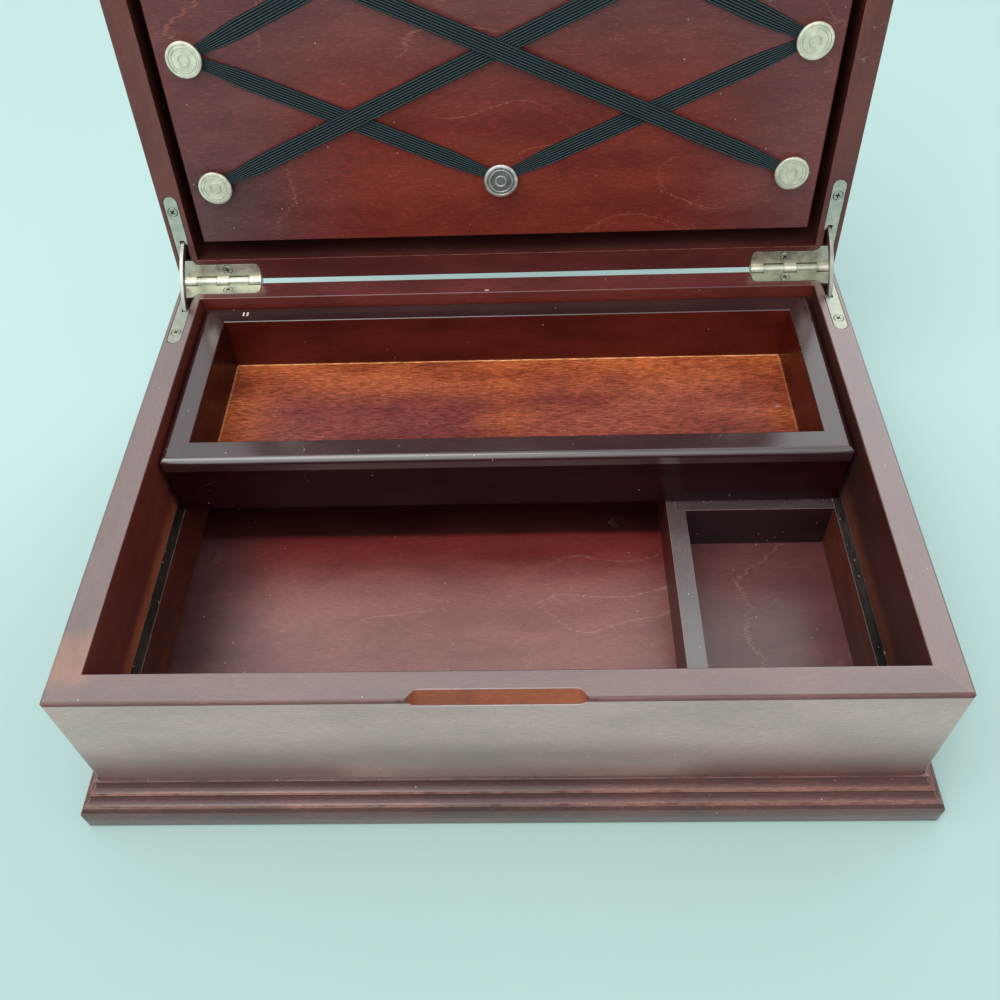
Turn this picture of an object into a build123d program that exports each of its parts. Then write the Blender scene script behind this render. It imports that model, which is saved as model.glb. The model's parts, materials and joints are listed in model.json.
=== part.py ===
from build123d import *
from math import asin, atan2, cos, degrees, hypot, radians, sin, sqrt
import os

os.makedirs("parts", exist_ok=True)

# Wooden jewelry box, open as it stands on a table. Millimetres, +Z up, +Y towards the hinges.
# The origin is the centre of the case's underside.

# Case
box_width = 320.0
box_depth = 231.6
box_height = 82.6
wall = 12.0
corner_round = 1.5
rim_round = 1.5
arris_round = 0.5

# Floor of the case, in a groove in the walls, and the covered panel under it
floor_top = 20.5
floor_thickness = 5.0
floor_groove = 4.0
base_thickness = 3.0
base_rebate = 6.0
panel_clearance = 0.2

# Finger notch in the front rim: a slope that fades out at both ends
notch_length = 54.0
notch_fade = 7.0
notch_depth = 4.8
notch_drop = 3.5
notch_offset = -1.5

# Base moulding
moulding_height = 22.4
moulding_out = 9.8
moulding_face = 4.6
moulding_foot_round = 0.8
moulding_nose_width = 2.2
moulding_nose_top = 12.0
moulding_fillet = 0.5
moulding_cap_width = 1.2
moulding_cap_height = 1.0
moulding_corner_round = 2.5

# Linings, whose top edges are the tray's ledges, and the dividers between them
ledge_height = 45.5
lining_thickness = 4.2
divider_thickness = 8.0
divider_drop = 0.5
small_compartment_width = 64.8
cross_divider_shows = 4.3
housing_depth = 4.0

# Tray
tray_depth = 102.4
tray_height = 31.9
tray_wall = 11.5
tray_side_gap = 1.2
tray_back_gap = 0.3
tray_lip_height = 6.5
tray_lip_round = 2.9
tray_lip_step = 0.8
tray_corner_round = 1.6
tray_floor_thickness = 3.5
tray_floor_lift = 0.5
tray_rebate = 5.0
slide_clearance = 0.1

# Lid
lid_height = 28.0
lid_wall = 11.0
lid_rim_round = 0.8
lid_top_round = 3.0
lid_top_thickness = 5.0
lid_rebate = 6.0
rim_gap = 0.4
open_angle = 96.2

# Ribbon board in the lid, on two battens
board_thickness = 4.0
board_set_back = 1.1
board_side_gap = 5.0
board_end_gap = 8.9
board_chamfer = 0.7
batten_width = 25.0
batten_length = 150.0
batten_inset = 36.0

# Elastic ribbons in four layers, and the round buttons that hold their ends
ribbon_width = 7.8
ribbon_end_width = 4.8
ribbon_taper = 25.0
ribbon_thickness = 0.7
ribbon_end_gap = 0.4
button_radius = 7.6
button_thickness = 1.5
button_shank = 2.0
shank_clearance = 0.05
button_clearance = 0.2
button_from_side = 13.3
button_row = 57.1
button_from_hinge = 49.3

# Quadrant hinges
leaf_thickness = 1.6
leaf_edge = 2.4
leg_width = 6.2
side_leg = 44.2
back_leg = 38.0
back_leg_front = 8.4
leaf_corner = 2.5
leaf_clearance = 0.3
barrel_radius = 2.5
barrel_clearance = 0.4
pin_out = 0.8
pin_radius = 1.2
pin_clearance = 0.05
case_knuckle = 9.7
knuckle_gap = 0.15

# Stay arms: flat bars bent round the hinge pin, with an ear at each end that stops the lid. The
# radius is where a bar leaves the leaves, and its middle bows out from the line between the two.
arm_thickness = 1.6
arm_radius = 19.3
arm_bow = 2.7
arm_width = 3.2
arm_ear = 1.4
arm_ear_angle = 4.0
arm_off_centre = 0.5
arm_clearance = 0.35
stop_gap = 0.15
mortise_clearance = 0.6
arm_notch_start = 10.8

# Countersunk screw holes of the hinge leaves
countersink_radius = 2.4
screw_hole_radius = 1.2
side_screw_from_back = 36.6
back_screw_from_back = 5.4
back_screw_from_edge = 22.1

# How far a cutting shape reaches past what it cuts
overcut = 1.0

# Places worked out from the sizes above
half_width = box_width / 2
half_depth = box_depth / 2
inner_x = half_width - wall
inner_y = half_depth - wall
pin_y = half_depth + pin_out
pin_z = box_height + rim_gap / 2
lid_rim = box_height + rim_gap
small_x = inner_x - lining_thickness - small_compartment_width
divider_height = ledge_height - divider_drop - floor_top
tray_width = 2 * (inner_x - tray_side_gap)
tray_y = inner_y - tray_back_gap - tray_depth / 2
cross_front = tray_y - tray_depth / 2 - cross_divider_shows
lid_knuckle = (back_leg - 2 * case_knuckle) / 3
leaf_outer = half_width - leaf_edge
leaf_inner = leaf_outer - leg_width
leaf_middle = leaf_outer - leg_width / 2
leaf_end = leaf_outer - back_leg
leaf_rear = pin_y - barrel_radius - barrel_clearance
arm_x = leaf_middle - arm_off_centre
arm_half_chord = arm_radius * sin(radians(open_angle / 2))
arm_bend = (arm_half_chord ** 2 + arm_bow ** 2) / (2 * arm_bow)
arm_bend_centre = arm_radius * cos(radians(open_angle / 2)) + arm_bow - arm_bend
ear_start = degrees(asin((rim_gap / 2 + leaf_thickness + stop_gap) / arm_radius))
ear_end = ear_start + arm_ear_angle
arm_half_sweep = open_angle / 2 + ear_end


def arm_reach(out, angle):
    """Radius from the pin to a line `out` from the arm's middle line, at an angle from its middle."""
    across = arm_bend_centre * sin(radians(angle))
    return arm_bend_centre * cos(radians(angle)) + sqrt((arm_bend + out) ** 2 - across ** 2)


arm_outer_radius = arm_reach(arm_width / 2, open_angle / 2 + ear_start)
arm_inner_radius = arm_reach(-arm_width / 2, arm_half_sweep)
ear_radius = arm_reach(arm_width / 2, arm_half_sweep) + arm_ear

# Where the case, the tray and the lid stand. The lid is swung open about the hinge pins.
pin_axis = Location((0, pin_y, pin_z))
case_seat = Location((0, 0, 0))
tray_seat = Location((0, tray_y, ledge_height + slide_clearance))
lid_seat = pin_axis * Location((0, 0, 0), (-open_angle, 0, 0)) * pin_axis.inverse() * Location((0, 0, lid_rim))

TURN = {"front": 0, "right": 90, "back": 180, "left": 270}
HANDS = {"left": -1, "right": 1}

# The wood lies below the case's rim and above the lid's, in the lid's own upright position
CASE, LID = -1, 1
RIM_SEATS = {CASE: Location((0, 0, box_height)), LID: lid_seat}


def level(height, side="front", seat=case_seat):
    """Plan plane at a height, turned so that its y points inwards from that side."""
    return Plane(seat * Location((0, 0, height), (0, 0, TURN[side])))


def section(side, out, seat=case_seat):
    """Upright plane across one side of a frame: x points outwards from a face at `out`, y up."""
    front = Plane(origin=(0, -out, 0), x_dir=(0, -1, 0), z_dir=(-1, 0, 0))
    return Plane(seat * Location((0, 0, 0), (0, 0, TURN[side])) * front.location)


def countersink(half, place):
    """Conical screw hole through a leaf, wide at the case's rim or the lid's."""
    x, y = place
    upright = Plane(origin=(x, y, 0), x_dir=(1, 0, 0), z_dir=(0, -half, 0))
    plane = Plane(RIM_SEATS[half] * upright.location)
    with BuildSketch(plane) as profile:
        with BuildLine():
            Polyline(
                (0, 0), (countersink_radius, 0), (screw_hole_radius, leaf_thickness), (0, leaf_thickness),
                close=True,
            )
        make_face()
    revolve(profile.sketch, axis=Axis(plane.origin, plane.y_dir), mode=Mode.SUBTRACT)


def spans(side, width, depth):
    """Length of one side of a frame, and how far its outer face is from the centre."""
    if side in ("front", "back"):
        return width, depth / 2
    return depth, width / 2


def frame_side(side, profile, width, depth, reach, height, round_corner, seat=case_seat):
    """One straight member of a frame, cut to 45 degree ends, with its upright corners rounded."""
    length, out = spans(side, width, depth)
    half = length / 2
    extrude(profile, amount=half + overcut, both=True)
    with BuildSketch(level(-overcut, side, seat)) as wedge:
        with BuildLine():
            Polyline(
                (-half - overcut, -out - overcut), (half + overcut, -out - overcut),
                (half - reach, reach - out), (reach - half, reach - out), close=True,
            )
        make_face()
    extrude(wedge.sketch, amount=height + 2 * overcut, mode=Mode.INTERSECT)
    with BuildSketch(level(-overcut, seat=seat)) as outline:
        RectangleRounded(width, depth, round_corner)
    extrude(outline.sketch, amount=height + 2 * overcut, mode=Mode.INTERSECT)


def top_corners(profile):
    """Corners on the top line of a profile, from the inside out."""
    return profile.vertices().group_by(Axis.Y)[-1].sort_by(Axis.X)


def case_profile(side):
    """Case wall: outer face at x = 0, with the floor's groove and the base panel's rebate."""
    with BuildSketch(section(side, spans(side, box_width, box_depth)[1])) as profile:
        with BuildLine():
            Polyline(
                (0, 0), (0, box_height), (-wall, box_height), (-wall, floor_top),
                (floor_groove - wall, floor_top), (floor_groove - wall, floor_top - floor_thickness),
                (-wall, floor_top - floor_thickness), (-wall, base_thickness),
                (base_rebate - wall, base_thickness), (base_rebate - wall, 0), close=True,
            )
        make_face()
        fillet(top_corners(profile)[-1], radius=rim_round)
        fillet(top_corners(profile)[0], radius=arris_round)
    return profile.sketch


def moulding_profile(side):
    """Base moulding: low face, round nose, two coves and a cap. The case wall is at x = 0."""
    nose_x = moulding_out - moulding_nose_width
    lower_x = nose_x - moulding_fillet
    lower_y = moulding_nose_top + moulding_fillet
    cap_y = moulding_height - moulding_cap_height
    cove_width = (lower_x - moulding_fillet - moulding_cap_width) / 2
    cove_height = (cap_y - moulding_fillet - lower_y) / 2
    cove_radius = 0.75 * hypot(cove_width, cove_height)
    middle_x = lower_x - cove_width
    middle_y = lower_y + cove_height
    upper_x = middle_x - moulding_fillet
    upper_y = middle_y + moulding_fillet
    foot_x = moulding_out - moulding_foot_round
    with BuildSketch(section(side, spans(side, box_width, box_depth)[1])) as profile:
        with BuildLine():
            Polyline(
                (moulding_cap_width, cap_y), (moulding_cap_width, moulding_height),
                (0, moulding_height), (0, 0), (foot_x, 0),
            )
            RadiusArc((foot_x, 0), (moulding_out, moulding_foot_round), -moulding_foot_round)
            Line((moulding_out, moulding_foot_round), (moulding_out, moulding_face))
            TangentArc((moulding_out, moulding_face), (nose_x, moulding_nose_top), tangent=(0, 1))
            Polyline((nose_x, moulding_nose_top), (lower_x, moulding_nose_top), (lower_x, lower_y))
            RadiusArc((lower_x, lower_y), (middle_x, middle_y), cove_radius)
            Polyline((middle_x, middle_y), (upper_x, middle_y), (upper_x, upper_y))
            RadiusArc((upper_x, upper_y), (moulding_cap_width, cap_y), cove_radius)
        make_face()
    return profile.sketch


def tray_profile(side):
    """Tray wall: inner face at x = 0, a rounded lip outside and a rebate for the floor below."""
    face = tray_wall - tray_lip_step
    lip = tray_height - tray_lip_height
    rebate_top = tray_floor_lift + tray_floor_thickness
    out = spans(side, tray_width, tray_depth)[1] - tray_wall
    with BuildSketch(section(side, out, tray_seat)) as profile:
        with BuildLine():
            Polyline(
                (0, rebate_top), (tray_rebate, rebate_top), (tray_rebate, 0), (face, 0), (face, lip),
                (tray_wall, lip), (tray_wall, tray_height), (0, tray_height), close=True,
            )
        make_face()
        fillet(top_corners(profile)[-1], radius=tray_lip_round)
        fillet(top_corners(profile)[0], radius=arris_round)
    return profile.sketch


def lid_profile(side):
    """Lid rail: rim at y = 0, outer face at x = 0, with a rebate for the top panel."""
    rebate = lid_rebate - lid_wall
    shelf = lid_height - lid_top_thickness
    with BuildSketch(section(side, spans(side, box_width, box_depth)[1], lid_seat)) as profile:
        with BuildLine():
            Polyline(
                (0, 0), (0, lid_height), (rebate, lid_height), (rebate, shelf), (-lid_wall, shelf),
                (-lid_wall, 0), close=True,
            )
        make_face()
        fillet(top_corners(profile)[-1], radius=lid_top_round)
        rim = profile.vertices().group_by(Axis.Y)[0].sort_by(Axis.X)
        fillet(rim[-1], radius=lid_rim_round)
        fillet(rim[0], radius=arris_round)
    return profile.sketch


def cut_finger_notch():
    """Slopes the front rim, to a depth that falls in an S curve at both ends."""
    depth = notch_depth * notch_drop / hypot(notch_depth, notch_drop)
    straight = notch_length / 2
    middle = straight + notch_fade / 2
    end = straight + notch_fade
    front_arris = (notch_offset, -half_depth, box_height)
    slope = Plane(origin=front_arris, x_dir=(1, 0, 0), z_dir=(0, -notch_depth, -notch_drop))
    with BuildSketch(slope) as notch:
        with BuildLine():
            Bezier((-end, 0), (-middle, 0), (-middle, -depth), (-straight, -depth))
            Line((-straight, -depth), (straight, -depth))
            Bezier((straight, -depth), (middle, -depth), (middle, 0), (end, 0))
            Line((end, 0), (-end, 0))
        make_face()
    extrude(notch.sketch, amount=2 * notch_depth, both=True, mode=Mode.SUBTRACT)


def leaf_outline(hand, half, rear, extra=0.0):
    """L-shaped outline of a hinge leaf on the rim, back to `rear`, grown by `extra` for its pocket."""
    tip_y = half_depth - side_leg + leg_width / 2
    front = half_depth - back_leg_front
    with BuildSketch(Plane(RIM_SEATS[half])) as outline:
        with BuildLine():
            Polyline(
                (hand * leaf_outer, rear), (hand * leaf_outer, tip_y), (hand * leaf_inner, tip_y),
                (hand * leaf_inner, front), (hand * leaf_end, front), (hand * leaf_end, rear), close=True,
            )
        make_face()
        fillet(outline.vertices().sort_by(Axis.Y)[2:4], radius=leaf_corner)
        with Locations((hand * leaf_middle, tip_y)):
            Circle(leg_width / 2)
        if extra > 0:
            offset(amount=extra)
    return outline.sketch


def screw_places(hand):
    """Plan places of the two screw holes of a leaf."""
    return [
        (hand * leaf_middle, half_depth - side_screw_from_back),
        (hand * (leaf_outer - back_screw_from_edge), half_depth - back_screw_from_back),
    ]


def barrel(start, length, radius, mode):
    """Cylinder round the hinge pins' axis, from a place along it."""
    with BuildSketch(Plane.YZ.offset(start)) as circle:
        with Locations((pin_y, pin_z)):
            Circle(radius)
    extrude(circle.sketch, amount=length, mode=mode)


def cut_leaf_seat(hand, half):
    """Pocket for a leaf, relief for the barrel and mortise for the stay arm."""
    pocket = leaf_outline(hand, half, half_depth + overcut, leaf_clearance)
    extrude(pocket, amount=half * leaf_thickness, mode=Mode.SUBTRACT)
    start = min(hand * leaf_outer, hand * leaf_end) - barrel_clearance
    barrel(start, back_leg + 2 * barrel_clearance, barrel_radius + barrel_clearance, Mode.SUBTRACT)
    near = pin_y - arm_inner_radius * cos(radians(arm_half_sweep)) + mortise_clearance
    far = pin_y - ear_radius - mortise_clearance
    depth = ear_radius * sin(radians(arm_half_sweep)) + mortise_clearance
    with BuildSketch(Plane(RIM_SEATS[half])) as mortise:
        with Locations((hand * arm_x, (near + far) / 2)):
            Rectangle(arm_thickness + 2 * mortise_clearance, near - far)
    extrude(mortise.sketch, amount=half * depth, mode=Mode.SUBTRACT)


def hinge_leaf(hand, half, knuckles):
    """Plate with its knuckles, the stay arm's slot with an open notch, and countersunk holes."""
    extrude(leaf_outline(hand, half, leaf_rear), amount=half * leaf_thickness)
    for start, length in knuckles:
        first = min(hand * (leaf_outer - start), hand * (leaf_outer - start - length)) + knuckle_gap / 2
        barrel(first, length - knuckle_gap, barrel_radius, Mode.ADD)
        with BuildSketch(Plane(RIM_SEATS[half])) as tab:
            with Locations((first, pin_y)):
                Rectangle(length - knuckle_gap, pin_y - leaf_rear, align=(Align.MIN, Align.MAX))
        extrude(tab.sketch, amount=half * leaf_thickness)
    barrel(min(hand * leaf_outer, hand * leaf_end), back_leg, pin_radius + pin_clearance, Mode.SUBTRACT)
    slot_far = pin_y - arm_outer_radius - arm_clearance
    slot_near = half_depth - arm_notch_start
    slot_width = arm_thickness + 2 * arm_clearance
    mouth = hand * (leaf_inner - overcut)
    with BuildSketch(Plane(RIM_SEATS[half])) as opening:
        with Locations((hand * arm_x, (slot_far + slot_near) / 2)):
            Rectangle(slot_width, slot_near - slot_far)
        with BuildLine():
            Polyline(
                (mouth, slot_near), (hand * arm_x, slot_near), (hand * arm_x, slot_far + slot_width / 2),
                (mouth, slot_far + leg_width / 2), close=True,
            )
        make_face()
    extrude(opening.sketch, amount=half * leaf_thickness, mode=Mode.SUBTRACT)
    for place in screw_places(hand):
        countersink(half, place)


def on_arm(out, angle, ear=0.0):
    """Point on a line of the stay arm, `out` from its middle line, at an angle from its middle."""
    radius = arm_reach(out, angle) + ear
    slope = radians(open_angle / 2 + angle)
    return pin_y - radius * cos(slope), pin_z + radius * sin(slope)


def stay_arm(hand):
    """Bent bar through both rims, whose ears stand under the leaves when the lid is open."""
    inner = -arm_width / 2
    outer = arm_width / 2
    stop = open_angle / 2 + ear_start
    end = arm_half_sweep
    with BuildSketch(Plane.YZ.offset(hand * arm_x - arm_thickness / 2)) as outline:
        with BuildLine():
            ThreePointArc(on_arm(inner, -end), on_arm(inner, 0), on_arm(inner, end))
            Line(on_arm(inner, end), on_arm(outer, end, arm_ear))
            Polyline(on_arm(outer, end, arm_ear), on_arm(outer, stop, arm_ear), on_arm(outer, stop))
            ThreePointArc(on_arm(outer, stop), on_arm(outer, 0), on_arm(outer, -stop))
            Polyline(on_arm(outer, -stop), on_arm(outer, -stop, arm_ear), on_arm(outer, -end, arm_ear))
            Line(on_arm(outer, -end, arm_ear), on_arm(inner, -end))
        make_face()
    extrude(outline.sketch, amount=arm_thickness)


# Case walls, mitred at the corners
for side in TURN:
    with BuildPart() as case_wall:
        frame_side(side, case_profile(side), box_width, box_depth, wall + 1, box_height, corner_round)
        if side == "front":
            cut_finger_notch()
        for name, hand in HANDS.items():
            if side in (name, "back"):
                cut_leaf_seat(hand, CASE)
    case_wall.part.label = f"{side}_wall"
    export_step(case_wall.part, f"parts/{side}_wall.step")

# Floor panel, and the base panel let into the underside
with BuildPart() as floor_panel:
    with BuildSketch(Plane.XY.offset(floor_top - floor_thickness)):
        grip = 2 * (floor_groove - panel_clearance)
        Rectangle(2 * inner_x + grip, 2 * inner_y + grip)
    extrude(amount=floor_thickness)
floor_panel.part.label = "floor_panel"
export_step(floor_panel.part, "parts/floor_panel.step")

with BuildPart() as base_panel:
    with BuildSketch(Plane.XY):
        grip = 2 * (base_rebate - panel_clearance)
        Rectangle(2 * inner_x + grip, 2 * inner_y + grip)
    extrude(amount=base_thickness)
base_panel.part.label = "base_panel"
export_step(base_panel.part, "parts/base_panel.step")

# Base moulding, mitred round the foot of the case
for side in TURN:
    with BuildPart() as moulding:
        frame_side(
            side, moulding_profile(side), box_width + 2 * moulding_out, box_depth + 2 * moulding_out,
            moulding_out + 1, moulding_height, moulding_corner_round,
        )
    moulding.part.label = f"{side}_moulding"
    export_step(moulding.part, f"parts/{side}_moulding.step")

# Lining boards against the side walls
for name, hand in HANDS.items():
    with BuildPart() as lining:
        with BuildSketch(Plane.XY.offset(floor_top)):
            with Locations((hand * (inner_x - lining_thickness / 2), 0)):
                Rectangle(lining_thickness, 2 * inner_y)
        extrude(amount=ledge_height - floor_top)
    lining.part.label = f"{name}_lining"
    export_step(lining.part, f"parts/{name}_lining.step")

# Divider from front to back, and the cross divider housed in its side
with BuildPart() as divider:
    with BuildSketch(Plane.XY.offset(floor_top)):
        with Locations((small_x - divider_thickness / 2, 0)):
            Rectangle(divider_thickness, 2 * inner_y)
        with Locations((small_x, cross_front)):
            Rectangle(
                housing_depth, divider_thickness, align=(Align.MAX, Align.MIN), mode=Mode.SUBTRACT
            )
    extrude(amount=divider_height)
divider.part.label = "divider"
export_step(divider.part, "parts/divider.step")

with BuildPart() as cross_divider:
    with BuildSketch(Plane.XY.offset(floor_top)):
        with Locations((small_x - housing_depth, cross_front)):
            Rectangle(
                small_compartment_width + housing_depth, divider_thickness, align=(Align.MIN, Align.MIN)
            )
    extrude(amount=divider_height)
cross_divider.part.label = "cross_divider"
export_step(cross_divider.part, "parts/cross_divider.step")

# Tray, which slides on the ledges
for side in TURN:
    with BuildPart() as tray_side:
        frame_side(
            side, tray_profile(side), tray_width, tray_depth, tray_wall + 1, tray_height,
            tray_corner_round, tray_seat,
        )
    tray_side.part.label = f"tray_{side}_wall"
    export_step(tray_side.part, f"parts/tray_{side}_wall.step")

with BuildPart() as tray_floor:
    with BuildSketch(level(tray_floor_lift, seat=tray_seat)):
        inset = 2 * (tray_wall - tray_rebate + panel_clearance)
        Rectangle(tray_width - inset, tray_depth - inset)
    extrude(amount=tray_floor_thickness)
tray_floor.part.label = "tray_floor"
export_step(tray_floor.part, "parts/tray_floor.step")

# Lid rails, mitred at the corners, and the panel let into their top
for side in TURN:
    with BuildPart() as rail:
        frame_side(
            side, lid_profile(side), box_width, box_depth, lid_wall + 1, lid_height, corner_round, lid_seat
        )
        for name, hand in HANDS.items():
            if side in (name, "back"):
                cut_leaf_seat(hand, LID)
    rail.part.label = f"lid_{side}_rail"
    export_step(rail.part, f"parts/lid_{side}_rail.step")

with BuildPart() as lid_top_panel:
    with BuildSketch(level(lid_height - lid_top_thickness, seat=lid_seat)):
        inset = 2 * (lid_wall - lid_rebate + panel_clearance)
        Rectangle(box_width - inset, box_depth - inset)
    extrude(amount=lid_top_thickness)
lid_top_panel.part.label = "lid_top_panel"
export_step(lid_top_panel.part, "parts/lid_top_panel.step")

# Where the buttons stand: rows of three, two and three, the first of them nearest to the hinges
board_half_width = half_width - lid_wall - board_side_gap
board_half_depth = half_depth - lid_wall - board_end_gap
button_x = board_half_width - button_from_side
row_y = [half_depth - button_from_hinge - row * button_row for row in range(3)]
button_places = {
    "hinge_left": (-button_x, row_y[0]),
    "hinge_centre": (0, row_y[0]),
    "hinge_right": (button_x, row_y[0]),
    "middle_left": (-button_x, row_y[1]),
    "middle_right": (button_x, row_y[1]),
    "front_left": (-button_x, row_y[2]),
    "front_centre": (0, row_y[2]),
    "front_right": (button_x, row_y[2]),
}

# Ribbon board, with a hole for each button's shank, and the battens behind it
board_back = board_set_back + board_thickness
with BuildPart() as ribbon_board:
    with BuildSketch(level(board_set_back, seat=lid_seat)):
        Rectangle(2 * board_half_width, 2 * board_half_depth)
        with Locations(*button_places.values()):
            shank_hole = button_shank + 2 * shank_clearance
            Rectangle(shank_hole, shank_hole, mode=Mode.SUBTRACT)
    extrude(amount=board_thickness)
    lid_plan = level(0, seat=lid_seat)
    face_edges = ribbon_board.edges().filter_by(GeomType.LINE)
    chamfer(face_edges.group_by(Axis(lid_plan.origin, lid_plan.z_dir))[0], length=board_chamfer)
ribbon_board.part.label = "ribbon_board"
export_step(ribbon_board.part, "parts/ribbon_board.step")

for name, hand in HANDS.items():
    with BuildPart() as batten:
        with BuildSketch(level(board_back, seat=lid_seat)):
            with Locations((hand * (half_width - lid_wall - batten_inset - batten_width / 2), 0)):
                Rectangle(batten_width, batten_length)
        extrude(amount=lid_height - lid_top_thickness - board_back)
    batten.part.label = f"{name}_batten"
    export_step(batten.part, f"parts/{name}_batten.step")

# Ribbons, by their layer counted from the board: each runs from one button to another
ribbon_layers = [
    {"ribbon_a": ("middle_left", "front_centre"), "ribbon_e": ("middle_right", "hinge_centre")},
    {"ribbon_b": ("middle_left", "hinge_centre"), "ribbon_f": ("middle_right", "front_centre")},
    {"ribbon_c": ("hinge_left", "front_right")},
    {"ribbon_d": ("hinge_right", "front_left")},
]
ribbon_runs = [
    (name, *ends, board_set_back - layer * ribbon_thickness)
    for layer, ribbons in enumerate(ribbon_layers)
    for name, ends in ribbons.items()
]
for name, start, end, back in ribbon_runs:
    (x0, y0), (x1, y1) = button_places[start], button_places[end]
    middle = Location(((x0 + x1) / 2, (y0 + y1) / 2, 0), (0, 0, degrees(atan2(y1 - y0, x1 - x0))))
    reach = hypot(x1 - x0, y1 - y0) / 2 - button_shank - ribbon_end_gap
    full = reach - ribbon_taper
    with BuildPart() as ribbon:
        with BuildSketch(level(back, seat=lid_seat * middle)):
            Rectangle(2 * full, ribbon_width)
            for toward in (-1, 1):
                with BuildLine():
                    Polyline(
                        (toward * full, -ribbon_width / 2), (toward * reach, -ribbon_end_width / 2),
                        (toward * reach, ribbon_end_width / 2), (toward * full, ribbon_width / 2),
                        close=True,
                    )
                make_face()
        extrude(amount=-ribbon_thickness)
    ribbon.part.label = name
    export_step(ribbon.part, f"parts/{name}.step")

# Buttons: round heads, each on a square shank through the board
head_base = board_set_back - len(ribbon_layers) * ribbon_thickness - button_clearance
with BuildPart() as buttons:
    with BuildSketch(level(head_base, seat=lid_seat)):
        with Locations(*button_places.values()):
            Circle(button_radius)
    extrude(amount=-button_thickness)
    with BuildSketch(level(head_base, seat=lid_seat)):
        with Locations(*button_places.values()):
            Rectangle(button_shank, button_shank)
    extrude(amount=board_back - head_base)
buttons.part.label = "ribbon_buttons"
export_step(buttons.part, "parts/ribbon_buttons.step")

# Quadrant hinges: knuckles are given by their distance from the leaf's outer edge, and their length
case_knuckles = [(lid_knuckle, case_knuckle), (2 * lid_knuckle + case_knuckle, case_knuckle)]
lid_knuckles = [(step * (lid_knuckle + case_knuckle), lid_knuckle) for step in range(3)]
for name, hand in HANDS.items():
    with BuildPart() as case_leaf:
        hinge_leaf(hand, CASE, case_knuckles)
    case_leaf.part.label = f"{name}_case_leaf"
    export_step(case_leaf.part, f"parts/{name}_case_leaf.step")

    with BuildPart() as lid_leaf:
        hinge_leaf(hand, LID, lid_knuckles)
    lid_leaf.part.label = f"{name}_lid_leaf"
    export_step(lid_leaf.part, f"parts/{name}_lid_leaf.step")

    with BuildPart() as pin:
        barrel(min(hand * leaf_outer, hand * leaf_end), back_leg, pin_radius, Mode.ADD)
    pin.part.label = f"{name}_pin"
    export_step(pin.part, f"parts/{name}_pin.step")

    with BuildPart() as stay:
        stay_arm(hand)
    stay.part.label = f"{name}_stay"
    export_step(stay.part, f"parts/{name}_stay.step")

print("Closed height", round(lid_rim + lid_height, 1), "width over moulding", box_width + 2 * moulding_out)
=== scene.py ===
# %% [markdown]
# A wooden jewelry box, standing open. The case, the sliding tray, the lid and the quadrant hinges come
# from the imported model, which is loaded first and never moved. This file gives them their finishes and
# makes what the solids leave out: ribbed elastic ribbons, turned buttons, screws and the felt underneath.

# %% Load the model
import json
import bpy
from math import ceil, cos, pi, radians, sin
from mathutils import Matrix, Vector, noise


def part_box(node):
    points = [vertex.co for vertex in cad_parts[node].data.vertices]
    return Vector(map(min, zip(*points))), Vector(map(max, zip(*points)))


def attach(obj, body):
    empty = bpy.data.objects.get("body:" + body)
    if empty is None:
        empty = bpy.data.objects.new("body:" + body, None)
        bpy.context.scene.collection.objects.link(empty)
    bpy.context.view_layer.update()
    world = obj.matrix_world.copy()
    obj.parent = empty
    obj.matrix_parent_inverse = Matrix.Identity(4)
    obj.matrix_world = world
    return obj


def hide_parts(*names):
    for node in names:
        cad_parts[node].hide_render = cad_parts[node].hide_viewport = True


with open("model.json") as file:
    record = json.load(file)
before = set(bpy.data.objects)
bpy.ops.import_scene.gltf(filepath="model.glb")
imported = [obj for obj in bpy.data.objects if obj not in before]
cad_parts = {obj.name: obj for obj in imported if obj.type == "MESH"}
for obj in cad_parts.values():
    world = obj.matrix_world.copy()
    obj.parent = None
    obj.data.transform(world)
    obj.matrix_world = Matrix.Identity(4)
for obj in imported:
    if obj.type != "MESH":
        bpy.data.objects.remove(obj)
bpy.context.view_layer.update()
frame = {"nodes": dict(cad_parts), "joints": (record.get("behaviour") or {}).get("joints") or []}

# %% [markdown]
# Everything is in metres, so a size in millimetres is written as a number times MM. The lid stands open
# about its hinge pins. Each thing on it could be tilted by itself, but it is easier to draw them flat. A
# matrix takes a point from the lid's own plan, where the rim is the plane z = 0 and the inside of the lid
# looks down, to its open place in the room.

# %% Places that come from the joints
MM = 0.001
RIM_GAP = 0.4 * MM
HINGE = next(joint for joint in frame["joints"] if joint["name"] == "lid_hinge")
PIN = Vector(HINGE["pos_m"])
OPEN = radians(HINGE["range_deg"][1])
LID_PLAN = (
    Matrix.Translation(PIN) @ Matrix.Rotation(-OPEN, 4, "X") @ Matrix.Translation(-PIN)
    @ Matrix.Translation((0, 0, PIN.z + RIM_GAP / 2))
)
print("Hinge pins at", tuple(round(v, 4) for v in PIN), "open by", round(OPEN / pi * 180, 1), "degrees")

# %% [markdown]
# The camera comes early, because everything is seen through it. It could be placed by eye, but then
# errors of its lens would be made up for in the shapes. So it was fitted to the straight edges of the box:
# it looks down from just above the front, turned a little to the left and rolled by three degrees.

# %% Camera
CAMERA_PLACE = Vector((11.1, -278.8, 383.7)) * MM
CAMERA_DOWN = radians(50.06)
CAMERA_YAW = radians(2.755)
CAMERA_ROLL = radians(-3.034)


def new_object(name, data):
    """New object in the scene, from a mesh, a lamp or a camera."""
    made = bpy.data.objects.new(name, data)
    bpy.context.scene.collection.objects.link(made)
    return made


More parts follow.
